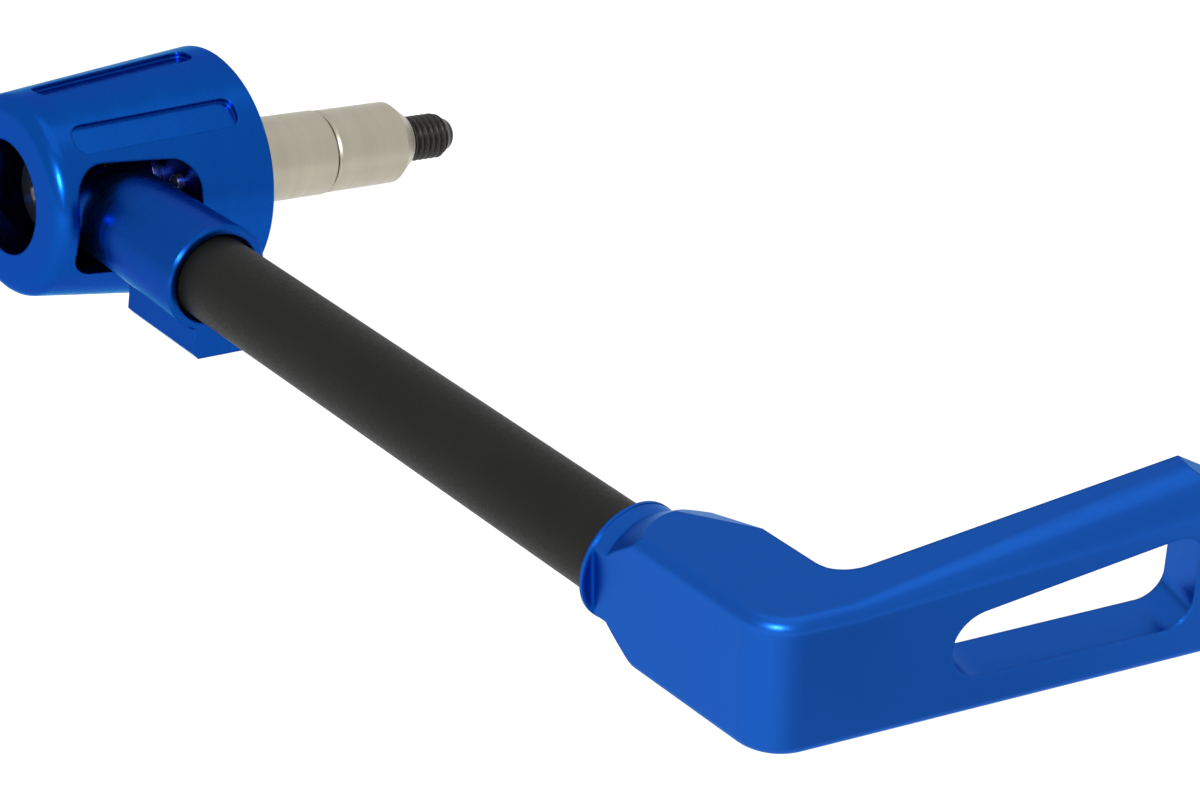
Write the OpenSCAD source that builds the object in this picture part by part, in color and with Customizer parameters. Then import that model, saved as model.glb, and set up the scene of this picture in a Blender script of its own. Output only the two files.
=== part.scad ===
/* [Barrel] */
// length of the turned barrel along the bar axis
barrel_len = 37.7; // [36:0.1:42]
// diameter at the inboard seating face
barrel_d_big = 41.2; // [40:0.1:46]
// diameter at the outboard end
barrel_d_small = 32.1; // [31:0.1:36]
// radius rolled round the outboard rim
rim_r = 2.8; // [1:0.1:3.4]
// diameter of the key hole in the outboard end wall
key_d = 18.6; // [17:0.1:20]
// distance from the seating face to the arm axis
arm_in = 24.0; // [23.5:0.1:25]
// window reach to the outboard side of the arm axis
win_out = 10.1; // [9.8:0.1:10.4]
// window reach to the inboard side of the arm axis
win_in = 10.9; // [10.6:0.1:12]
// window edge above the arm axis
win_up = 9.9; // [9.2:0.1:10.5]
// window edge below the arm axis
win_down = 8.5; // [8.4:0.1:9.2]
// depth of the cavity behind the bar axis
cavity_back = 9.5; // [8.8:0.1:10]
// radius of the two upper window corners
win_r_top = 5.0; // [2:0.1:6]
// radius of the two lower window corners
win_r_low = 4.0; // [1:0.1:4.5]
// angle between the grip pockets round the barrel
pocket_pitch = 45; // [45:1:60]
// angle of the first pocket above the arm side
pocket_first = 50.5; // [46:0.1:60]
// number of grip pockets round the top and back
pocket_count = 6; // [1:1:6]
// width of a grip pocket
pocket_w = 5.2; // [3:0.1:6]
// length of a grip pocket
pocket_len = 28.6; // [12:0.1:29]
// depth of a grip pocket
pocket_deep = 1.1; // [0.4:0.1:1.6]
// distance from the arm axis to the middle of the pockets, inboard
pocket_mid = 5.8; // [5:0.1:6.5]
// radius of the pocket corners
pocket_r = 2.0; // [1:0.1:2.4]
// depth of the washer's seat in the web beside the cavity
seat_deep = 0.3; // [0.2:0.1:0.6]
// depth of the plug's recess in the seating face
recess = 1.0; // [0.5:0.1:2]
// clearance of the plug in that recess
recess_gap = 0.1; // [0.05:0.05:0.2]

/* [Arm socket] */
// distance from the bar axis to the mouth of the socket
mouth_v = 39.8; // [36:0.1:46]
// outside radius where the domed end meets the taper
socket_r = 8.2; // [8.1:0.1:8.4]
// outside radius at the mouth
mouth_r = 8.8; // [8.6:0.1:9.4]
// radius of the long arc of the domed end
dome_r = 17; // [15:0.1:18]
// distance from the bar axis at which the taper starts
dome_v = 15; // [14.5:0.1:15.5]
// depth at which the tube bottoms in the socket
bore_v = 15.2; // [14.5:0.1:17]
// radius of the relieved mouth round the tube
relief_r = 7.15; // [7:0.05:7.4]
// length of the relieved mouth
relief_len = 3.0; // [1:0.1:5]
// radius of the eye that the bolt passes through
eye_r = 8.0; // [7:0.1:8.4]
// outboard face of the eye, inboard of the arm axis
eye_face = 2.4; // [2:0.1:3.4]
// lower face of the keel below the arm axis
keel_down = 13.2; // [11:0.1:14]
// distance from the bar axis to the rear step of the keel
keel_v = 21; // [20.6:0.1:23]
// outboard side of the keel
keel_out = 3.2; // [3:0.1:5]
// inboard side of the keel
keel_in = 7.6; // [4:0.1:8]
// chamfer on the two lower edges of the keel
keel_ch = 1.0; // [0.4:0.1:1.2]

/* [Tube] */
// outside diameter of the arm tube
tube_d = 13.5; // [13:0.1:13.9]
// bore of the arm tube
tube_bore = 6.8; // [4:0.1:8]
// running clearance of the tube in the socket
tube_fit = 0.05; // [0.02:0.01:0.1]
// distance from the bar axis to the shoulder at the deflector
shoulder_v = 136.6; // [120:0.1:150]
// diameter of the spigot in the deflector
spigot_d = 10.0; // [9:0.1:10.4]
// length of the spigot
spigot_len = 15.0; // [12:0.1:18]

/* [Deflector] */
// turn of the deflector about the arm axis
turn = 10.6; // [-20:0.1:30]
// half height of the solid knuckle
half_h = 10.6; // [9.6:0.1:12]
// outer side of the knuckle from the arm axis
face_out = 6.7; // [6.2:0.1:7.4]
// inner side of the knuckle from the arm axis
face_in = 7.7; // [7:0.1:9]
// radius of the collar against the tube shoulder
collar_r = 8.5; // [8:0.1:9]
// thickness of the collar's rim in front of the flats
ring_t = 1.0; // [0.6:0.1:2]
// distance from the tube shoulder to the start of the trimming cone
cone_start = 3.6; // [2:0.1:4]
// growth of the trimming cone per millimetre
cone_k = 0.6; // [0.5:0.01:0.7]
// angle of the paddle forward of square to the arm
paddle_turn = 19.0; // [10:0.1:24]
// arm distance of the paddle front plane, square to the plane
front_n = 163.7; // [160:0.1:168]
// radius of the outer corner in plan
corner_r = 7.7; // [4:0.1:9]
// thickness of the paddle
paddle_t = 7.5; // [6:0.1:8]
// length of the paddle from the outer corner to the tip
paddle_len = 64; // [63:0.1:72]
// paddle length at which the top edge starts to rise
rise_s = 6.8; // [4:0.1:10]
// rise of the paddle's top edge per millimetre
paddle_rise = 0.143; // [0.1:0.001:0.16]
// paddle length at which the top edge turns down
crest_s = 55.2; // [52:0.1:57]
// fall of the top edge beyond the crest per millimetre
crest_fall = 0.62; // [0.4:0.01:0.8]
// radius of the inner corner between knuckle and paddle
inner_r = 6.0; // [3:0.1:8]
// round of the outer and front lower edges
edge_low = 2.0; // [0.5:0.1:2.6]
// round of the outer and front upper edges
edge_top = 2.0; // [1:0.1:3]
// growth of that round per millimetre along the rising edge
edge_grow = 0.077; // [0.05:0.001:0.09]
// round of the upper edge beyond the crest
edge_tip = 3.0; // [1:0.1:4]
// size of the chamfers on the lower and far corners of the tip
tip_ch = 4.0; // [2:0.1:5]
// size of the chamfers on the tip's upright edges
tip_edge = 3.0; // [1:0.1:3.4]
// arm distance at which the slanted flats of the knuckle start
flat_v = 139.8; // [139:0.1:142]
// place of that start across the knuckle, outward of the arm axis
flat_u = 0.6; // [0.2:0.1:2]
// angle of those flats to the arm
flat_turn = 30; // [26:1:34]
// dip of those flats below the knuckle's top face
flat_dip = 28; // [20:1:30]
// floor of the paddle window below the arm axis
slot_floor = 4.5; // [3.5:0.1:5.5]
// radius of the rounded root of the paddle window
slot_r = 5.2; // [4.6:0.1:5.6]
// paddle length at the root of the window
slot_s0 = 20.2; // [18:0.1:24]
// paddle length at the far end of the window
slot_s1 = 55.5; // [48:0.1:56]
// rise of the window's upper edge per millimetre
slot_rise = 0.15; // [0.1:0.001:0.17]
// radius of the two far corners of the window
slot_end_r = 4.0; // [2:0.1:5]

/* [Bolt and expander] */
// thread diameter of the clamp bolt
bolt_d = 8; // [7.6:0.1:8.2]
// length of the clamp bolt under its head
bolt_len = 75; // [72:0.5:85]
// diameter of the bolt head
head_d = 13; // [12.5:0.1:13.5]
// height of the bolt head
head_h = 8; // [7:0.1:8]
// key size of the bolt head across flats
hex_af = 6; // [5:0.5:7]
// thickness of the washer under the head
head_washer_t = 1.6; // [1.2:0.1:2]
// diameter of both washers
washer_d = 16; // [14:0.1:16.4]
// thickness of the thrust washer
thrust_t = 2.2; // [1:0.1:2.4]
// clearance of the bolt in plain holes
bolt_gap = 0.2; // [0.1:0.05:0.3]
// running clearance of the nut on the bolt
nut_fit = 0.04; // [0.02:0.01:0.1]
// diameter of the expander sleeve
sleeve_d = 14.6; // [14:0.1:16]
// length of the expander sleeve
sleeve_len = 22.6; // [20:0.1:26]
// width of the slit in the sleeve
slit_w = 1.6; // [1:0.1:2.4]
// mouth radius of the sleeve's taper
taper_r = 6.2; // [5.8:0.1:6.5]
// length of the taper
taper_len = 9; // [7:0.1:11]
// fall of the taper radius per millimetre
taper_k = 0.16; // [0.1:0.01:0.17]
// gap between the sleeve end and the nut shoulder
seam = 0.3; // [0.2:0.05:0.6]
// radius of the nut's body
nut_r = 7.15; // [6.9:0.05:7.4]
// distance from the seating face to the end of the nut
nut_end = 40.7; // [38:0.1:44]
// length of the nut's end chamfer
nut_ch = 3.3; // [1:0.1:3.6]
// radius at the end face of the nut
nut_end_r = 4.8; // [4.6:0.1:6]

/* [Small screws] */
// thread diameter of the socket's set screws
grub_d = 4; // [3:0.1:4]
// distance from the bar axis to the first set screw
grub_v0 = 26; // [25:0.1:27]
// distance between the set screws
grub_step = 7.5; // [6:0.1:8]
// how far the set screws lie inside the keel face
grub_sunk = 0.6; // [0.2:0.1:1]
// thread diameter of the deflector's set screw
lock_d = 5; // [4:0.1:5]
// distance from the tube shoulder to the deflector's set screw
lock_v = 10; // [9:0.1:11]
// diameter of the point of that set screw
point_d = 3; // [2:0.1:3.4]
// how far the point enters the spigot wall
point_in = 0.9; // [0.4:0.1:1.2]
// diameter of the stop pin beside the eye
stop_d = 2.5; // [2:0.1:3]
// height of the stop pin above the web
stop_out = 1.2; // [0.6:0.1:1.6]
// depth of the stop pin in the web
stop_in = 5; // [3:0.1:7]
// forward distance of the stop pin from the bar axis
stop_fwd = 12; // [11.5:0.1:13]
// height of the stop pin above the bar axis
stop_up = 4; // [2:0.1:6]

/* [Hidden] */
fn_big = 60;
fn_mid = 32;
fn_small = 24;
far = 60;
arm_x = -arm_in;
web_x = arm_x + win_in;
taper = (barrel_d_big - barrel_d_small) / 2 / barrel_len;
lean = atan(taper);
tube_r = tube_d / 2;
seat_x = web_x + seat_deep;
eye_in = win_in + seat_deep - thrust_t;
head_x = arm_x + eye_face - head_washer_t;
bolt_r = bolt_d / 2;
sleeve_r = sleeve_d / 2;
lock_low = half_h - grub_sunk;
cone_len = 11;
ease = 0.005;
overlap = 4;
cone_v = shoulder_v + cone_start;

// plan geometry of the deflector, in its own turned frame, x outward to inward, y back along the arm
pc = cos(paddle_turn);
ps = sin(paddle_turn);
function front_v(u, n) = (n + ps * u) / pc;
corner_u = -face_out + corner_r;
corner_v = front_v(corner_u, front_n - corner_r);
edge_v = front_v(-face_out, front_n);
inner_u = face_in + inner_r;
inner_v = front_v(inner_u, front_n - paddle_t - inner_r);
back_v = front_v(face_in, front_n - paddle_t);
// origin of the paddle's own frame: foot of the corner centre on the front plane
foot_u = corner_u - ps * corner_r;
foot_v = corner_v + pc * corner_r;
crest_w = half_h + paddle_rise * (crest_s - rise_s);
tip_w = crest_w - crest_fall * (paddle_len - crest_s);
fall_a = atan(crest_fall);
flat_len = (face_in + flat_u) / sin(flat_turn) + 2;
slot_c = slot_s0 + slot_r;
slot_w = slot_r - slot_floor;
slot_a = atan(slot_rise);

module barrel_color() color([0.05, 0.25, 0.75]) children();
module steel() color([0.6, 0.6, 0.62]) children();
module black() color([0.08, 0.08, 0.08]) children();
module bare() color([0.72, 0.68, 0.62]) children();

// profile drawn with radius along x and distance along y, turned about the arm axis
module about_arm(fn) translate([arm_x, 0, 0]) rotate([90, 0, 0]) rotate_extrude($fn = fn) children();

// profile drawn with radius along x and distance along y, turned about the bar axis
module about_bar(fn) rotate([90, 0, 90]) rotate_extrude($fn = fn) children();

// the space outside a quarter round, for one corner of a flat shape
module corner(r) difference() {
    translate([-1, -1]) square(r + 1);
    translate([r, r]) circle(r, $fn = fn_mid);
}

module window_shape() difference() {
    translate([-win_out, -win_down]) square([win_out + win_in, win_down + win_up]);
    translate([-win_out, -win_down]) corner(win_r_low);
    translate([win_in, -win_down]) rotate(90) corner(win_r_low);
    translate([win_in, win_up]) rotate(180) corner(win_r_top);
    translate([-win_out, win_up]) rotate(270) corner(win_r_top);
}

module pocket() {
    mid = arm_x + pocket_mid;
    translate([mid, 0, barrel_d_big / 2 + taper * mid - pocket_deep]) rotate([0, -lean, 0])
        linear_extrude(height = 4) difference() {
            square([pocket_len, pocket_w], center = true);
            for (k = [0 : 3]) rotate(90 * k)
                translate(k % 2 == 0 ? [-pocket_len / 2, -pocket_w / 2] : [-pocket_w / 2, -pocket_len / 2])
                    corner(pocket_r);
        }
}

module barrel() barrel_color() difference() {
    about_bar(fn_big) difference() {
        polygon([[0, 0], [barrel_d_big / 2 - 0.6, 0], [barrel_d_big / 2 - taper * 0.6, -0.6],
                 [barrel_d_small / 2, -barrel_len], [0, -barrel_len]]);
        rim_round();
    }
    translate([-barrel_len - 1, 0, 0]) rotate([0, 90, 0])
        cylinder(h = barrel_len + 1 + seat_x, d = key_d, $fn = fn_big);
    translate([-recess, 0, 0]) rotate([0, 90, 0])
        cylinder(h = recess + 1, r = sleeve_r + recess_gap, $fn = fn_big);
    translate([arm_x, cavity_back, 0]) rotate([90, 0, 0])
        linear_extrude(height = far) window_shape();
    translate([web_x - 1, 0, 0]) rotate([0, 90, 0])
        cylinder(h = far, r = bolt_r + bolt_gap, $fn = fn_mid);
    translate([web_x - 1, -stop_fwd, stop_up]) rotate([0, 90, 0])
        cylinder(h = stop_in + 1, d = stop_d, $fn = fn_small);
    for (k = [0 : pocket_count - 1])
        rotate([90 - pocket_first - pocket_pitch * k, 0, 0]) pocket();
}

// corner left over outside the rolled rim, tangent to the end face and to the cone
module rim_round() {
    cy = -barrel_len + rim_r;
    cx = barrel_d_small / 2 + taper * rim_r - rim_r / cos(lean);
    difference() {
        polygon([[cx, cy], [cx, -barrel_len - 1], [cx + rim_r + 1, -barrel_len - 1],
                 [cx + rim_r * cos(lean) + 1, cy - rim_r * sin(lean)],
                 [cx + rim_r * cos(lean), cy - rim_r * sin(lean)]]);
        translate([cx, cy]) circle(rim_r, $fn = fn_small);
    }
}

module stop_pin() steel() translate([web_x - stop_out, -stop_fwd, stop_up])
    rotate([0, 90, 0]) cylinder(h = stop_out + stop_in, d = stop_d, $fn = fn_small);

module arm_socket() barrel_color() difference() {
    union() {
        about_arm(fn_big) intersection() {
            translate([socket_r - dome_r, dome_v]) circle(dome_r, $fn = fn_big);
            square([far, dome_v]);
        }
        about_arm(fn_big) polygon([[0, dome_v], [socket_r, dome_v], [mouth_r, mouth_v - 0.4],
                                   [mouth_r - 0.4, mouth_v], [0, mouth_v]]);
        translate([arm_x + eye_face, 0, 0]) rotate([0, 90, 0])
            cylinder(h = eye_in - eye_face, r = eye_r, $fn = fn_big);
        keel();
    }
    translate([arm_x + eye_face - far, 0, 0]) rotate([0, 90, 0])
        cylinder(h = far, r = eye_r + 0.8, $fn = fn_big);
    translate([arm_x - far / 2, 0, 0]) rotate([0, 90, 0])
        cylinder(h = far, r = bolt_r + bolt_gap, $fn = fn_mid);
    about_arm(fn_big) polygon([[0, bore_v], [tube_r + tube_fit, bore_v],
        [tube_r + tube_fit, mouth_v - relief_len], [relief_r, mouth_v - relief_len],
        [relief_r, mouth_v - 0.3], [relief_r + 0.4, mouth_v + 0.1], [0, mouth_v + 0.1]]);
    for (k = [0, 1]) translate([arm_x, -grub_v0 - k * grub_step, -keel_down - 1])
        cylinder(h = keel_down, d = grub_d, $fn = fn_small);
}

module keel() difference() {
    translate([arm_x - keel_out, -mouth_v, -keel_down])
        cube([keel_out + keel_in, mouth_v - keel_v, keel_down]);
    translate([arm_x - keel_out, 0, -keel_down]) rotate([0, 45, 0])
        cube([keel_ch * sqrt(2), 3 * far, keel_ch * sqrt(2)], center = true);
    translate([arm_x + keel_in, 0, -keel_down]) rotate([0, 45, 0])
        cube([keel_ch * sqrt(2), 3 * far, keel_ch * sqrt(2)], center = true);
}

// set screw standing on its point, with a hexagon socket in its other end
module grub(d, len, key) difference() {
    cylinder(h = len, d = d, $fn = fn_small);
    translate([0, 0, -0.1]) cylinder(h = len * 0.4, d = key / cos(30), $fn = 6);
}

module socket_screws() black() for (k = [0, 1])
    translate([arm_x, -grub_v0 - k * grub_step, -keel_down + grub_sunk])
        grub(grub_d, keel_down - grub_sunk - tube_r - 0.02, grub_d / 2);

module guard_tube() black() difference() {
    about_arm(fn_big) polygon([[tube_bore / 2, bore_v], [tube_r - 0.5, bore_v],
        [tube_r, bore_v + 0.5], [tube_r, shoulder_v], [spigot_d / 2, shoulder_v],
        [spigot_d / 2, shoulder_v + spigot_len - 0.5],
        [spigot_d / 2 - 0.5, shoulder_v + spigot_len], [tube_bore / 2, shoulder_v + spigot_len]]);
    in_deflector() translate([0, -shoulder_v - lock_v, -spigot_d / 2 - 1])
        cylinder(h = 1 + point_in, d = point_d, $fn = fn_small);
}

// frame of the deflector: origin on the bar axis, turned about the arm axis
module in_deflector() translate([arm_x, 0, 0]) rotate([0, -turn, 0]) children();

// frame of the paddle: x along the front plane to the tip, y into the thickness
module in_paddle() translate([foot_u, -foot_v, 0]) rotate([0, 0, -paddle_turn]) children();

// point of the paddle's plan at length s and depth t behind the front plane
function pp(s, t) = [foot_u + s * pc + t * ps, -foot_v - s * ps + t * pc];

module plan() difference() {
    union() {
        polygon([[-face_out, -shoulder_v], [-face_out, -edge_v], pp(paddle_len - tip_edge, 0),
                 pp(paddle_len, tip_edge), pp(paddle_len, paddle_t - tip_edge),
                 pp(paddle_len - tip_edge, paddle_t), [face_in, -back_v], [face_in, -shoulder_v]]);
        difference() {
            polygon([[inner_u, -inner_v],
                     [inner_u - ps * (inner_r + 0.5), -inner_v - pc * (inner_r + 0.5)],
                     [face_in - 0.5, -back_v - 0.5], [face_in - 0.5, -inner_v]]);
            translate([inner_u, -inner_v]) circle(inner_r + ease, $fn = fn_big);
        }
    }
    difference() {
        polygon([[corner_u, -corner_v], [corner_u - corner_r - 1, -corner_v],
                 [-face_out - 1, -edge_v - 1],
                 [corner_u - ps * (corner_r + 1), -corner_v - pc * (corner_r + 1)]]);
        translate([corner_u, -corner_v]) circle(corner_r + ease, $fn = fn_big);
    }
}

// side outline of the knuckle's end of the blank, with a level top
module level_shape() polygon([[-far, -half_h], [rise_s + overlap, -half_h],
    [rise_s + overlap, half_h], [-far, half_h]]);

// side outline of the paddle's end, with the rising top and the fall to the tip
module rising_shape() polygon([[rise_s - overlap, -half_h], [paddle_len - tip_ch, -half_h],
    [paddle_len, -half_h + tip_ch], [paddle_len, tip_w], [crest_s, crest_w],
    [rise_s - overlap, half_h - paddle_rise * overlap]]);

module slot_shape() {
    up = slot_w + slot_r / cos(slot_a) - slot_rise * slot_c;
    translate([slot_c, slot_w]) circle(slot_r + ease, $fn = fn_mid);
    difference() {
        polygon([[slot_c, -slot_floor], [slot_s1, -slot_floor], [slot_s1, up + slot_rise * slot_s1],
                 [slot_c - slot_r * sin(slot_a), slot_w + slot_r * cos(slot_a)]]);
        translate([slot_s1, -slot_floor]) rotate(90) corner(slot_end_r);
        translate([slot_s1, up + slot_rise * slot_s1]) rotate(180 + slot_a) corner(slot_end_r);
    }
}

// waste outside a round of radius r, with the body on the given side and above (1) or below (-1)
module waste(r, side, up) difference() {
    translate([side > 0 ? -1 : -r, up > 0 ? -1 : -r]) square(r + 1);
    translate([side * r, up * r]) circle(r + 2 * ease, $fn = fn_small);
}

// waste along the outer side and round the corner, at the lower (1) or upper (-1) face
module side_edge(r, up) translate([0, 0, -up * half_h]) {
    translate([-face_out, -shoulder_v, 0]) rotate([90, 0, 0])
        linear_extrude(height = corner_v - shoulder_v + 1) waste(r, 1, up);
    translate([corner_u, -corner_v, 0]) rotate([0, 0, 180])
        rotate_extrude(angle = 90 - paddle_turn, $fn = fn_big) translate([corner_r + ease, 0])
            waste(r, -1, up);
}

// waste along the rising upper edge, outside a cone that touches the front and the top face
module rising_edge() {
    point_s = rise_s - edge_top / edge_grow;
    point_w = half_h - paddle_rise * (rise_s - point_s);
    fall = paddle_rise - edge_grow * sqrt(1 + paddle_rise * paddle_rise);
    along = norm([1, edge_grow, fall]);
    open = tan(asin(edge_grow / along));
    start = 10;
    difference() {
        intersection() {
            translate([point_s, 0, 0]) rotate([0, 0, atan(edge_grow)])
                translate([0, -far, -far]) cube([3 * far, far, 2 * far]);
            translate([point_s, -far, point_w]) rotate([0, -atan(fall), 0])
                cube([3 * far, 2 * far, far]);
            translate([0, -far, -far]) cube([3 * far, 2 * far, 2 * far]);
        }
        translate([point_s, 0, point_w]) rotate([0, acos(fall / along), atan(edge_grow)])
            translate([0, 0, start - 2 * ease * along / edge_grow])
                cylinder(h = 2 * far, r1 = start * open, r2 = (start + 2 * far) * open, $fn = fn_mid);
    }
}

// slanted flat across the inner corner of the knuckle, at the lower (-1) or upper (1) face
module flat(up) translate([-flat_u, -flat_v, up * half_h]) rotate([0, 0, flat_turn])
    rotate([0, up * flat_dip, 0]) translate([-half_h / 4, -flat_len, up > 0 ? 0 : -half_h])
        cube([2 * half_h, flat_len, half_h]);

// the plan's solid, kept where the side outline given as child has material
module blank() intersection() {
    translate([0, 0, -far / 2]) linear_extrude(height = far) plan();
    in_paddle() translate([0, far, 0]) rotate([90, 0, 0]) linear_extrude(height = 2 * far) children();
}

module level_end() difference() {
    blank() level_shape();
    side_edge(edge_top, -1);
    in_paddle() translate([-1, 0, half_h]) rotate([90, 0, 90])
        linear_extrude(height = far) waste(edge_top, 1, -1);
}

module rising_end() difference() {
    blank() rising_shape();
    in_paddle() rising_edge();
    in_paddle() translate([crest_s, 0, crest_w]) rotate([0, fall_a, 0]) translate([-far / 2, 0, 0])
        rotate([90, 0, 90]) linear_extrude(height = 2 * far) waste(edge_tip, 1, -1);
}

module deflector() barrel_color() in_deflector() difference() {
    union() {
        intersection() {
            union() {
                level_end();
                rising_end();
            }
            rotate([90, 0, 0]) rotate_extrude($fn = fn_big)
                polygon([[0, shoulder_v + ring_t / 2], [collar_r, shoulder_v + ring_t / 2],
                         [collar_r, cone_v], [collar_r + cone_k * cone_len, cone_v + cone_len],
                         [2 * far, cone_v + cone_len], [2 * far, shoulder_v + 2 * far],
                         [0, shoulder_v + 2 * far]]);
        }
        rotate([90, 0, 0]) rotate_extrude($fn = fn_big)
            polygon([[0, shoulder_v], [collar_r - 0.4, shoulder_v], [collar_r + 0.1, shoulder_v + 0.5],
                     [collar_r + 0.1, shoulder_v + ring_t], [0, shoulder_v + ring_t]]);
    }
    rotate([90, 0, 0]) translate([0, 0, shoulder_v - 1])
        cylinder(h = spigot_len + 1.5, d = spigot_d, $fn = fn_mid);
    translate([0, -shoulder_v - lock_v, -half_h - 1])
        cylinder(h = half_h, d = lock_d, $fn = fn_small);
    side_edge(edge_low, 1);
    in_paddle() translate([-1, 0, -half_h]) rotate([90, 0, 90])
        linear_extrude(height = far + paddle_len) waste(edge_low, 1, 1);
    in_paddle() translate([0, far, 0]) rotate([90, 0, 0]) linear_extrude(height = 2 * far) slot_shape();
    flat(1);
    flat(-1);
}

module deflector_screw() black() in_deflector() translate([0, -shoulder_v - lock_v, -lock_low]) {
    grub(lock_d, lock_low - spigot_d / 2, lock_d / 2);
    translate([0, 0, lock_low - spigot_d / 2 - 0.5])
        cylinder(h = 0.5 + point_in, d = point_d, $fn = fn_small);
}

module clamp_bolt() black() difference() {
    cap = 2.9;
    rise = 1.7;
    dome = (cap * cap + rise * rise) / 2 / rise;
    end = head_x + bolt_len;
    union() {
        about_bar(fn_mid) polygon([[0, head_x - head_h], [head_d / 2 - 0.5, head_x - head_h],
            [head_d / 2, head_x - head_h + 0.5], [head_d / 2, head_x], [bolt_r, head_x],
            [bolt_r, end - rise - 1.6], [cap, end - rise], [0, end - rise]]);
        about_bar(fn_mid) intersection() {
            translate([0, end - dome]) circle(dome, $fn = fn_mid);
            translate([0, end - rise - 0.2]) square([far, far]);
        }
    }
    translate([head_x - head_h - 1, 0, 0]) rotate([0, 90, 0]) rotate([0, 0, 30])
        cylinder(h = 5, d = hex_af / cos(30), $fn = 6);
}

module ring(x0, x1, r_out, r_in) about_bar(fn_mid)
    polygon([[r_in, x0], [r_out, x0], [r_out, x1], [r_in, x1]]);

module head_washer() steel()
    ring(head_x, head_x + head_washer_t, washer_d / 2, bolt_r + bolt_gap);

module thrust_washer() steel()
    ring(arm_x + eye_in, seat_x, washer_d / 2, bolt_r + bolt_gap);

module expander_sleeve() bare() difference() {
    about_bar(fn_big) polygon([[bolt_r + 0.3, -recess], [sleeve_r - 0.4, -recess], [sleeve_r - 0.4, 0],
        [sleeve_r, 0.4], [sleeve_r, sleeve_len - 0.4], [sleeve_r - 0.4, sleeve_len], [taper_r, sleeve_len],
        [taper_r - taper_k * taper_len, sleeve_len - taper_len], [bolt_r + 0.3, sleeve_len - taper_len]]);
    rotate([-130, 0, 0]) translate([-recess - 1, -slit_w / 2, 0])
        cube([sleeve_len + recess + 2, slit_w, far]);
}

module cone_nut() bare() about_bar(fn_big)
    polygon([[bolt_r + nut_fit, sleeve_len - taper_len + 0.5],
        [taper_r - taper_k * (taper_len - 0.5), sleeve_len - taper_len + 0.5],
        [taper_r + taper_k * seam, sleeve_len + seam], [nut_r - 0.4, sleeve_len + seam],
        [nut_r, sleeve_len + seam + 0.4], [nut_r, nut_end - nut_ch], [nut_end_r, nut_end],
        [bolt_r + nut_fit, nut_end]]);

barrel();
stop_pin();
arm_socket();
socket_screws();
guard_tube();
deflector();
deflector_screw();
clamp_bolt();
head_washer();
thrust_washer();
expander_sleeve();
cone_nut();
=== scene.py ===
import bpy
import numpy as np
from mathutils import Matrix


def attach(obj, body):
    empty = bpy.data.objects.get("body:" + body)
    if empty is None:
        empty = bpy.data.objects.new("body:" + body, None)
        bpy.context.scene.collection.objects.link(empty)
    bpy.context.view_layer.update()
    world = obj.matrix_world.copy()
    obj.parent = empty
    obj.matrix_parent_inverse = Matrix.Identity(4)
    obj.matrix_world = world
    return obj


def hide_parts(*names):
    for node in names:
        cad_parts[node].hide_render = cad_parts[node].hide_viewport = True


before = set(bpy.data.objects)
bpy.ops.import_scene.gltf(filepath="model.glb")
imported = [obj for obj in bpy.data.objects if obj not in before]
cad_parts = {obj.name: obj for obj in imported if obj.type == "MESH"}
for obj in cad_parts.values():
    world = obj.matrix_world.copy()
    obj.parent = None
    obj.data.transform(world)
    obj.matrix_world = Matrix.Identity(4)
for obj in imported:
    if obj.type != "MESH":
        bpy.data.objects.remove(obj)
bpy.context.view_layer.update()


# The barrel closes the handlebar's end. It is turned from one bar of aluminium, cross-milled for the
# arm's window and the grip pockets, then anodised blue. Its turning marks run round the bar axis, and
# the walls of the bore and the window are painted a darker blue: painted shade for those recesses.
BARREL_DYE = (0.0008, 0.048, 0.28), (0.0012, 0.066, 0.345)
# Painted shade: the darker blue laid on the walls of the bore and the window.
BARREL_PAINTED_SHADE = (0.0002, 0.010, 0.12)
BARREL_ROUGHNESS = 0.22, 0.31
BARREL_EDGE_BREAK = 0.0005
TURNING_DEPTH = 0.000003
CONE_RADIUS = 0.0205  # of the barrel's outside at the seat
CONE_SLOPE = 0.119  # change of that radius with x
WINDOW_WALL = 0.0015, 0.0035  # how far under the outside the window's walls begin to darken, and have done so
RIM_BAND = -0.0342, -0.0325  # the rim's inner side, along x
SEAT_BAND = -0.0015, -0.0008  # just outboard of the seat, along x
BORE_BAND = 0.0091, 0.0096  # from the bore's radius outwards


def finish(name, colour, metallic, roughness):
    """A Principled material with its constants on the shader's own sockets; returns the material, its
    nodes, its links and the shader."""
    m = bpy.data.materials.new(name)
    m.use_nodes = True
    nodes, links = m.node_tree.nodes, m.node_tree.links
    shader = nodes["Principled BSDF"]
    shader.inputs["Base Color"].default_value = (*colour, 1)
    shader.inputs["Metallic"].default_value = metallic
    shader.inputs["Roughness"].default_value = roughness
    m.diffuse_color = (*colour, 1)
    return m, nodes, links, shader


def anodised(name, colour, roughness, edge_tint, film, film_roughness):
    """Dyed oxide on aluminium: a metal in the dye's colour, tinted at grazing angles, under a thin clear
    film."""
    m, nodes, links, shader = finish(name, colour, 1.0, roughness)
    shader.inputs["Specular Tint"].default_value = (*edge_tint, 1)
    shader.inputs["Coat Weight"].default_value = film
    shader.inputs["Coat Roughness"].default_value = film_roughness
    return m, nodes, links, shader


def marks(nodes, links, scale, stretch=(1, 1, 1), detail=4):
    """Noise on object coordinates; a small stretch along an axis draws the marks out along it."""
    where = nodes.new("ShaderNodeTexCoord")
    squeeze = nodes.new("ShaderNodeMapping")
    squeeze.inputs["Scale"].default_value = stretch
    n = nodes.new("ShaderNodeTexNoise")
    n.inputs["Scale"].default_value = scale
    n.inputs["Detail"].default_value = detail
    links.new(where.outputs["Object"], squeeze.inputs["Vector"])
    links.new(squeeze.outputs["Vector"], n.inputs["Vector"])
    return n.outputs["Fac"]


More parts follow.
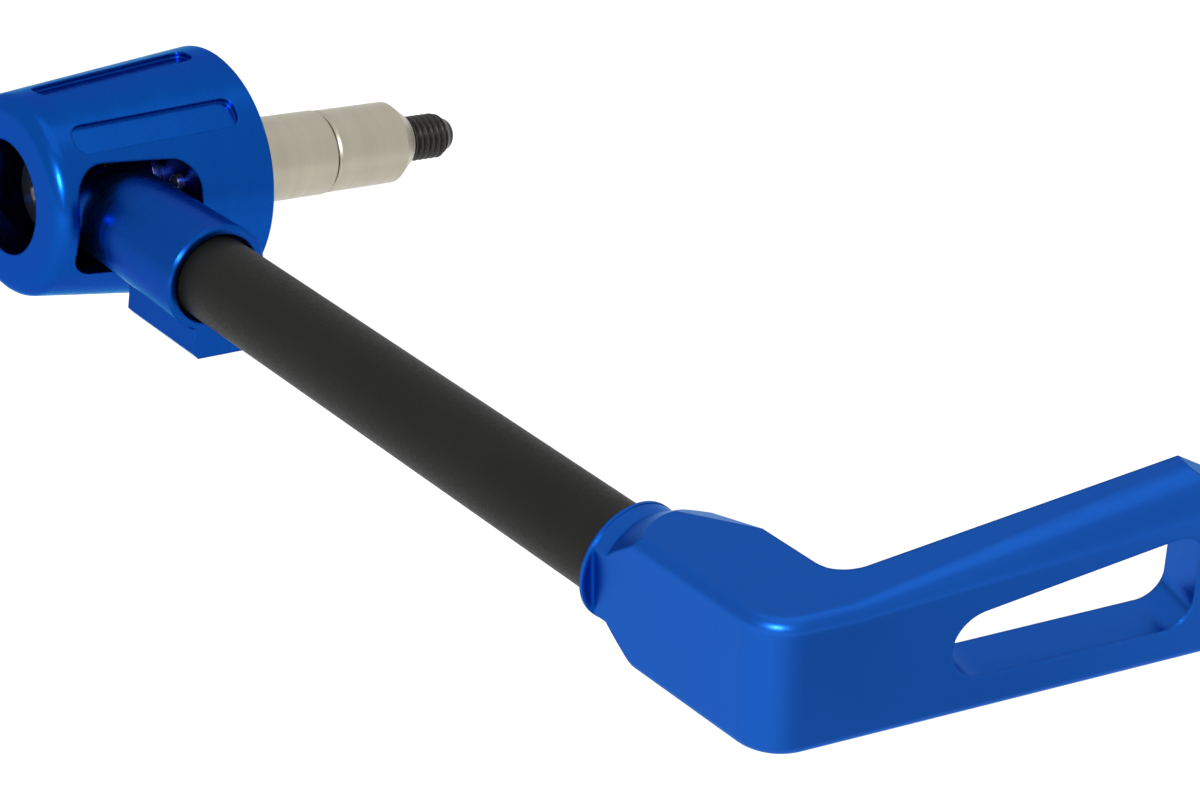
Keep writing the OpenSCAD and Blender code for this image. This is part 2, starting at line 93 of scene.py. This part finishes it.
def ramp(nodes, links, fac, low_value, high_value, start=0.35, end=0.65):
    """Maps the part of a signal between start and end onto a range of values."""
    r = nodes.new("ShaderNodeMapRange")
    r.inputs["From Min"].default_value = start
    r.inputs["From Max"].default_value = end
    r.inputs["To Min"].default_value = low_value
    r.inputs["To Max"].default_value = high_value
    links.new(fac, r.inputs["Value"])
    return r.outputs["Result"]


def shade(nodes, links, fac, a, b):
    """Colour that goes from a to b with a signal; a may also be another colour socket."""
    mix = nodes.new("ShaderNodeMix")
    mix.data_type = "RGBA"
    if hasattr(a, "is_linked"):
        links.new(a, mix.inputs[6])
    else:
        mix.inputs[6].default_value = (*a, 1)
    mix.inputs[7].default_value = (*b, 1)
    links.new(fac, mix.inputs[0])
    return mix.outputs[2]


def relief(nodes, links, shader, fac, depth, edge_break):
    """Fine bump over softened edges: a real part's edges are broken by a fraction of a millimetre."""
    soft = nodes.new("ShaderNodeBevel")
    soft.samples = 4
    soft.inputs["Radius"].default_value = edge_break
    bump = nodes.new("ShaderNodeBump")
    bump.inputs["Strength"].default_value = 1.0
    bump.inputs["Distance"].default_value = depth
    links.new(fac, bump.inputs["Height"])
    links.new(soft.outputs["Normal"], bump.inputs["Normal"])
    links.new(bump.outputs["Normal"], shader.inputs["Normal"])


def combine(nodes, links, operation, *values):
    """One Math node; each value is a socket to link or a number to set."""
    n = nodes.new("ShaderNodeMath")
    n.operation = operation
    for socket, value in zip(n.inputs, values):
        if hasattr(value, "is_linked"):
            links.new(value, socket)
        else:
            socket.default_value = value
    return n.outputs[0]


def from_bar_axis(nodes, links):
    """Distance of a point from the bar axis, in metres: the length of (0, y, z)."""
    where = nodes.new("ShaderNodeTexCoord")
    flat = nodes.new("ShaderNodeVectorMath")
    flat.operation = "MULTIPLY"
    flat.inputs[1].default_value = (0, 1, 1)
    size = nodes.new("ShaderNodeVectorMath")
    size.operation = "LENGTH"
    links.new(where.outputs["Object"], flat.inputs[0])
    links.new(flat.outputs["Vector"], size.inputs[0])
    return size.outputs["Value"]


def painted_shade_walls(nodes, links):
    """Mask of the barrel's painted shade: 1 on the walls of the bore and of the window, 0 on the outside.
    The bore is near the bar axis. The window's walls lie under the outer cone, whose radius is its radius
    at the seat plus its slope times x, between the rim and the seat."""
    where = nodes.new("ShaderNodeTexCoord")
    split = nodes.new("ShaderNodeSeparateXYZ")
    links.new(where.outputs["Object"], split.inputs[0])
    along = split.outputs["X"]
    radius = from_bar_axis(nodes, links)
    cone = combine(nodes, links, "MULTIPLY_ADD", along, CONE_SLOPE, CONE_RADIUS)
    depth = combine(nodes, links, "SUBTRACT", cone, radius)
    under = ramp(nodes, links, depth, 0, 1, *WINDOW_WALL)
    rim = ramp(nodes, links, along, 0, 1, *RIM_BAND)
    seat = ramp(nodes, links, along, 1, 0, *SEAT_BAND)
    between = combine(nodes, links, "MULTIPLY", rim, seat)
    window = combine(nodes, links, "MULTIPLY", under, between)
    bore = ramp(nodes, links, radius, 1, 0, *BORE_BAND)
    return combine(nodes, links, "MAXIMUM", window, bore)


def dress(node, material):
    """Gives a CAD node's object one finish."""
    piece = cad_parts[node]
    piece.data.materials.clear()
    piece.data.materials.append(material)


turned_blue, nodes, links, shader = anodised("turned blue", (0.001, 0.058, 0.315), 0.3,
                                             (0.06, 0.5, 0.85), 0.05, 0.2)
rings = marks(nodes, links, 900, (2.2, 0.25, 0.25), 3)
bands = marks(nodes, links, 160, (1, 0.02, 0.02), 2)
dye = shade(nodes, links, bands, *BARREL_DYE)
# The walls of the bore and the window take the darker blue here: painted shade.
links.new(shade(nodes, links, painted_shade_walls(nodes, links), dye, BARREL_PAINTED_SHADE), shader.inputs["Base Color"])
links.new(ramp(nodes, links, rings, *BARREL_ROUGHNESS), shader.inputs["Roughness"])
relief(nodes, links, shader, rings, TURNING_DEPTH, BARREL_EDGE_BREAK)
dress("barrel", turned_blue)


# The arm socket is one turned and milled piece of aluminium: a domed eye inside the barrel, a bore for
# the tube and a keel below for the set screws. The clamp screw holds its eye against the web. Its dye
# came out a little darker than the barrel's, and its marks run round the arm axis.
SOCKET_DYE = (0.0008, 0.042, 0.25), (0.0012, 0.055, 0.3)
SOCKET_ROUGHNESS = 0.24, 0.33
SOCKET_EDGE_BREAK = 0.0006

socket_blue, nodes, links, shader = anodised("socket blue", (0.001, 0.05, 0.28), 0.3,
                                             (0.1, 0.5, 0.85), 0.06, 0.2)
rings = marks(nodes, links, 900, (0.25, 2.2, 0.25), 3)
bands = marks(nodes, links, 170, (0.02, 1, 0.02), 2)
links.new(shade(nodes, links, bands, *SOCKET_DYE), shader.inputs["Base Color"])
links.new(ramp(nodes, links, rings, *SOCKET_ROUGHNESS), shader.inputs["Roughness"])
relief(nodes, links, shader, rings, TURNING_DEPTH, SOCKET_EDGE_BREAK)
dress("arm_socket", socket_blue)


# The arm is a drawn aluminium tube, blasted and anodised black, so it is matt all over. The keel's set
# screws hold it in the socket, and its turned spigot carries the deflector.
TUBE_BLACK = (0.006, 0.006, 0.0055), (0.009, 0.009, 0.008)
TUBE_ROUGHNESS = 0.44, 0.56
TUBE_GLOSS = 0.1
TUBE_BLAST_DEPTH = 0.000004
TUBE_EDGE_BREAK = 0.0003

black_tube, nodes, links, shader = finish("matt black anodised", (0.007, 0.007, 0.0065), 0.0, 0.5)
shader.inputs["Specular IOR Level"].default_value = TUBE_GLOSS
blasting = marks(nodes, links, 2600, (1, 0.6, 1), 2)
patches = marks(nodes, links, 60)
links.new(shade(nodes, links, patches, *TUBE_BLACK), shader.inputs["Base Color"])
links.new(ramp(nodes, links, blasting, *TUBE_ROUGHNESS), shader.inputs["Roughness"])
relief(nodes, links, shader, blasting, TUBE_BLAST_DEPTH, TUBE_EDGE_BREAK)
dress("guard_tube", black_tube)


# The deflector is milled from a solid block of aluminium, blasted fine and anodised, so its grain has no
# direction. It sits on the tube's spigot. Its clear film is thicker than the barrel's and shows as a
# faint pale sheen on the faces that meet the light flatly.
DEFLECTOR_DYE = (0.0012, 0.062, 0.34), (0.0018, 0.074, 0.375)
DEFLECTOR_ROUGHNESS = 0.30, 0.37
DEFLECTOR_BLAST_DEPTH = 0.0000015
DEFLECTOR_EDGE_BREAK = 0.0008

milled_blue, nodes, links, shader = anodised("milled blue", (0.0014, 0.066, 0.36), 0.34,
                                             (0.3, 0.6, 0.92), 0.16, 0.3)
grain = marks(nodes, links, 2800, (1, 1, 1), 2)
patches = marks(nodes, links, 40)
links.new(shade(nodes, links, patches, *DEFLECTOR_DYE), shader.inputs["Base Color"])
links.new(ramp(nodes, links, grain, *DEFLECTOR_ROUGHNESS), shader.inputs["Roughness"])
relief(nodes, links, shader, grain, DEFLECTOR_BLAST_DEPTH, DEFLECTOR_EDGE_BREAK)
dress("deflector", milled_blue)


# The clamp screw is an M8 socket head screw, 75 mm long, in steel with black oxide on it. It runs
# through the eye and the web into the cone nut, and its rolled thread stands out of the nut. It takes
# the plain CAD screw's place.
SCREW_HEAD = -0.0312  # x of the head's outer face
SCREW_SEAT = -0.0232  # x of the head's underside
SCREW_TIP = 0.0518
HEAD_RADIUS = 0.0065
KEY_HALF_WIDTH = 0.003
KEY_DEPTH = 0.004
SHANK_RADIUS = 0.004
CORE_RADIUS = 0.0029
THREAD_START = 0.018
THREAD_DEPTH = 0.0007
PITCH = 0.00125
TIP_LENGTH = 0.0017
STATIONS_PER_TURN = 12
OXIDE_BLACK = (0.026, 0.025, 0.024), (0.045, 0.044, 0.041)
OXIDE_ROUGHNESS = 0.30, 0.44


def socket_screw(columns=72):
    """A closed surface carried round the bar axis. Row i has a station x and a radius r for each angle t.
    The key's hexagon is r = a / cos(t folded into 60 degrees), the rest is round, and the thread takes
    off up to its depth where the phase x / pitch - t / 2 pi is in the groove, faded in over its first two
    turns and at the tip."""
    t = np.arange(columns) * 2 * np.pi / columns
    hexagon = KEY_HALF_WIDTH / np.cos(np.mod(t, np.pi / 3) - np.pi / 6)
    deep = SCREW_HEAD + KEY_DEPTH
    key = [(deep + 0.0008, 0.0002 + 0 * t), (deep, hexagon * 0.97), (deep - 0.0001, hexagon),
           (SCREW_HEAD + 0.0004, hexagon), (SCREW_HEAD, np.maximum(hexagon, 0.0034))]
    outline = [(SCREW_HEAD, HEAD_RADIUS - 0.0003), (SCREW_HEAD + 0.0001, HEAD_RADIUS - 0.0001),
               (SCREW_HEAD + 0.0004, HEAD_RADIUS), (SCREW_SEAT - 0.0003, HEAD_RADIUS),
               (SCREW_SEAT, HEAD_RADIUS - 0.0002), (SCREW_SEAT, SHANK_RADIUS + 0.0004),
               (SCREW_SEAT + 0.0004, SHANK_RADIUS)]
    rows = key + [(x, r + 0 * t) for x, r in outline]
    thread_end = SCREW_TIP - TIP_LENGTH
    along = np.arange(THREAD_START, thread_end, PITCH / STATIONS_PER_TURN)
    phase = np.mod(along[:, None] / PITCH - t[None, :] / (2 * np.pi), 1)
    groove = np.clip((0.5 - np.abs(phase - 0.5)) * 2.6 - 0.25, 0, 1)
    fade = np.clip((along - THREAD_START) / (2 * PITCH), 0, 1)
    crest = CORE_RADIUS + (SHANK_RADIUS - CORE_RADIUS) * np.clip((thread_end - along) / 0.0016, 0, 1)
    thread = np.minimum(SHANK_RADIUS - THREAD_DEPTH * groove * fade[:, None], crest[:, None])
    rows += list(zip(along, thread))
    for angle in np.linspace(0.05, 0.985, 8) * np.pi / 2:
        rows.append((thread_end + TIP_LENGTH * np.sin(angle), CORE_RADIUS * np.cos(angle) + 0 * t))
    x = np.repeat([row[0] for row in rows], columns)
    r = np.concatenate([row[1] for row in rows])
    turn = np.tile(t, len(rows))
    points = np.stack([x, r * np.cos(turn), r * np.sin(turn)], 1)
    points = np.concatenate([points, [(rows[0][0], 0, 0), (SCREW_TIP, 0, 0)]])
    i = np.arange(len(rows) - 1)[:, None] * columns
    j = np.arange(columns)[None, :]
    k = (j + 1) % columns
    sides = np.stack([i + columns + j, i + columns + k, i + k, i + j], 2).reshape(-1, 4)
    first, last = len(points) - 2, len(points) - 1
    end = (len(rows) - 1) * columns
    inner = np.stack([0 * j[0] + first, k[0], j[0]], 1)
    outer = np.stack([0 * j[0] + last, end + j[0], end + k[0]], 1)
    return points.tolist(), sides.tolist() + inner.tolist() + outer.tolist()


points, faces = socket_screw()
mesh = bpy.data.meshes.new("clamp_screw")
mesh.from_pydata(points, [], faces)
mesh.update()
clamp_screw = bpy.data.objects.new("clamp_screw", mesh)
bpy.context.scene.collection.objects.link(clamp_screw)
oxide, nodes, links, shader = finish("black oxide steel", (0.035, 0.034, 0.032), 0.9, 0.36)
speck = marks(nodes, links, 1800)
links.new(shade(nodes, links, speck, *OXIDE_BLACK), shader.inputs["Base Color"])
links.new(ramp(nodes, links, speck, *OXIDE_ROUGHNESS), shader.inputs["Roughness"])
relief(nodes, links, shader, speck, 0.000004, 0.00015)
mesh.materials.append(oxide)
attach(clamp_screw, "bolt")
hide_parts("clamp_bolt")


# The set screws are short steel screws with a hexagon socket, in the same black oxide. Two in the keel
# press on the tube, and one under the knuckle presses on its spigot.
for node in ("socket_screws", "deflector_screw"):
    dress(node, oxide)


# The washer under the screw's head and the one between the eye and the web are stamped from steel, and
# the small stop pin is pressed into the web. All three are zinc plated.
ZINC = (0.48, 0.49, 0.51), (0.62, 0.63, 0.64)
ZINC_ROUGHNESS = 0.24, 0.36

zinc, nodes, links, shader = finish("zinc plated steel", (0.55, 0.56, 0.57), 1.0, 0.3)
crystals = marks(nodes, links, 700)
links.new(shade(nodes, links, crystals, *ZINC), shader.inputs["Base Color"])
links.new(ramp(nodes, links, crystals, *ZINC_ROUGHNESS), shader.inputs["Roughness"])
relief(nodes, links, shader, crystals, 0.000004, 0.0002)
for node in ("head_washer", "thrust_washer", "stop_pin"):
    dress(node, zinc)


# The expander sleeve and the cone nut are turned from bare aluminium, with fine feed marks round the bar
# axis. Their colour's yellowish cast is a painted reflection of warm surroundings. The nut's cone spreads the
# slit sleeve in the bar.
# The yellowish cast in these colours is a painted reflection of warm surroundings.
BARE_METAL = (0.35, 0.325, 0.26), (0.45, 0.42, 0.34)
BARE_ROUGHNESS = 0.30, 0.44

bare, nodes, links, shader = finish("bare turned aluminium", (0.40, 0.375, 0.30), 1.0, 0.36)
feed = marks(nodes, links, 1500, (2.5, 0.08, 0.08), 2)
bands = marks(nodes, links, 220, (1, 0.05, 0.05), 2)
links.new(shade(nodes, links, bands, *BARE_METAL), shader.inputs["Base Color"])
links.new(ramp(nodes, links, feed, *BARE_ROUGHNESS), shader.inputs["Roughness"])
relief(nodes, links, shader, feed, 0.000006, 0.0003)
for node in ("expander_sleeve", "cone_nut"):
    dress(node, bare)


# The studio is a pale paper floor, a broad dim light above, and a small lamp beside the camera, which
# makes the bright spots on the rim and the corner. Below the view the floor has a soft grey patch,
# painted shade that the paddle's front reflects so that it looks darker.
FLOOR_HEIGHT = -0.09
FLOOR_REACH = 4
PAPER_WHITE = (0.95, 0.95, 0.95)
# Painted shade: the grey of the soft patch on the floor that the paddle's front reflects.
PAINTED_SHADE_GREY = (0.4, 0.4, 0.4)
PAINTED_SHADE_MIDDLE = (-0.005, -0.33, FLOOR_HEIGHT)
PAINTED_SHADE_REACH = 0.03, 0.15  # distances from the middle between which the grey fades out


def area(name, place, target, size, power):
    """A rectangular soft light at place, facing target: its z axis points back from the target, and its
    x axis is level."""
    data = bpy.data.lights.new(name, "AREA")
    data.shape = "RECTANGLE"
    data.size, data.size_y = size
    data.energy = power
    lamp = bpy.data.objects.new(name, data)
    bpy.context.scene.collection.objects.link(lamp)
    z = np.array(place, float) - np.array(target, float)
    z /= np.linalg.norm(z)
    x = np.cross((0, 0.01, 1.0), z)
    x /= np.linalg.norm(x)
    y = np.cross(z, x)
    lamp.matrix_world = Matrix([[x[k], y[k], z[k], place[k]] for k in range(3)] + [[0, 0, 0, 1]])
    return lamp


sheet = bpy.data.meshes.new("floor")
corners = [(-FLOOR_REACH, -FLOOR_REACH), (FLOOR_REACH, -FLOOR_REACH),
           (FLOOR_REACH, FLOOR_REACH), (-FLOOR_REACH, FLOOR_REACH)]
sheet.from_pydata([(x, y, FLOOR_HEIGHT) for x, y in corners], [], [(0, 1, 2, 3)])
sheet.update()
floor = bpy.data.objects.new("floor", sheet)
bpy.context.scene.collection.objects.link(floor)
paper, nodes, links, shader = finish("floor paper", PAPER_WHITE, 0.0, 0.9)
where = nodes.new("ShaderNodeTexCoord")
off = nodes.new("ShaderNodeVectorMath")
off.operation = "DISTANCE"
off.inputs[1].default_value = PAINTED_SHADE_MIDDLE
links.new(where.outputs["Object"], off.inputs[0])
outwards = ramp(nodes, links, off.outputs["Value"], 0, 1, *PAINTED_SHADE_REACH)
# The floor's grey patch is painted shade, reflected in the paddle's front.
links.new(shade(nodes, links, outwards, PAINTED_SHADE_GREY, PAPER_WHITE), shader.inputs["Base Color"])
sheet.materials.append(paper)

broad_light = area("broad light", (-0.1, -0.15, 1.1), (-0.05, -0.08, 0), (0.9, 0.9), 1.6)
camera_lamp = area("camera lamp", (-0.69, -0.55, 0.40), (-0.03, -0.05, 0), (0.12, 0.12), 6)

world = bpy.data.worlds.new("studio")
world.use_nodes = True
background = world.node_tree.nodes["Background"]
background.inputs["Color"].default_value = (1, 1, 1, 1)
background.inputs["Strength"].default_value = 1.0
bpy.context.scene.world = world
bpy.context.scene.view_settings.view_transform = "Standard"


# The camera stands where the photo's did: it was solved from the outlines of the round pieces and the
# tube's edges, in a photo of 1200 pixels across. The shift puts its frame where the photo's is.
PHOTO_WIDTH = 1200
LENS = 83.403
SHIFT_RIGHT = -79.5
SHIFT_UP = 62.5
CAMERA_RIGHT = (0.73357198, -0.6614355, 0.15612568)
CAMERA_UP = (0.1908863, 0.42101166, 0.88674213)
CAMERA_BACK = (-0.65225346, -0.62068692, 0.43510133)
CAMERA_PLACE = (-0.25588556, -0.36370179, 0.17203143)

data = bpy.data.cameras.new("camera")
data.sensor_fit = "HORIZONTAL"
data.sensor_width = 36
data.lens = LENS
data.shift_x = SHIFT_RIGHT / PHOTO_WIDTH
data.shift_y = SHIFT_UP / PHOTO_WIDTH
data.clip_start = 0.01
data.clip_end = 20
camera = bpy.data.objects.new("camera", data)
bpy.context.scene.collection.objects.link(camera)
rows = zip(CAMERA_RIGHT, CAMERA_UP, CAMERA_BACK, CAMERA_PLACE)
camera.matrix_world = Matrix([*rows, (0, 0, 0, 1)])
bpy.context.scene.camera = camera
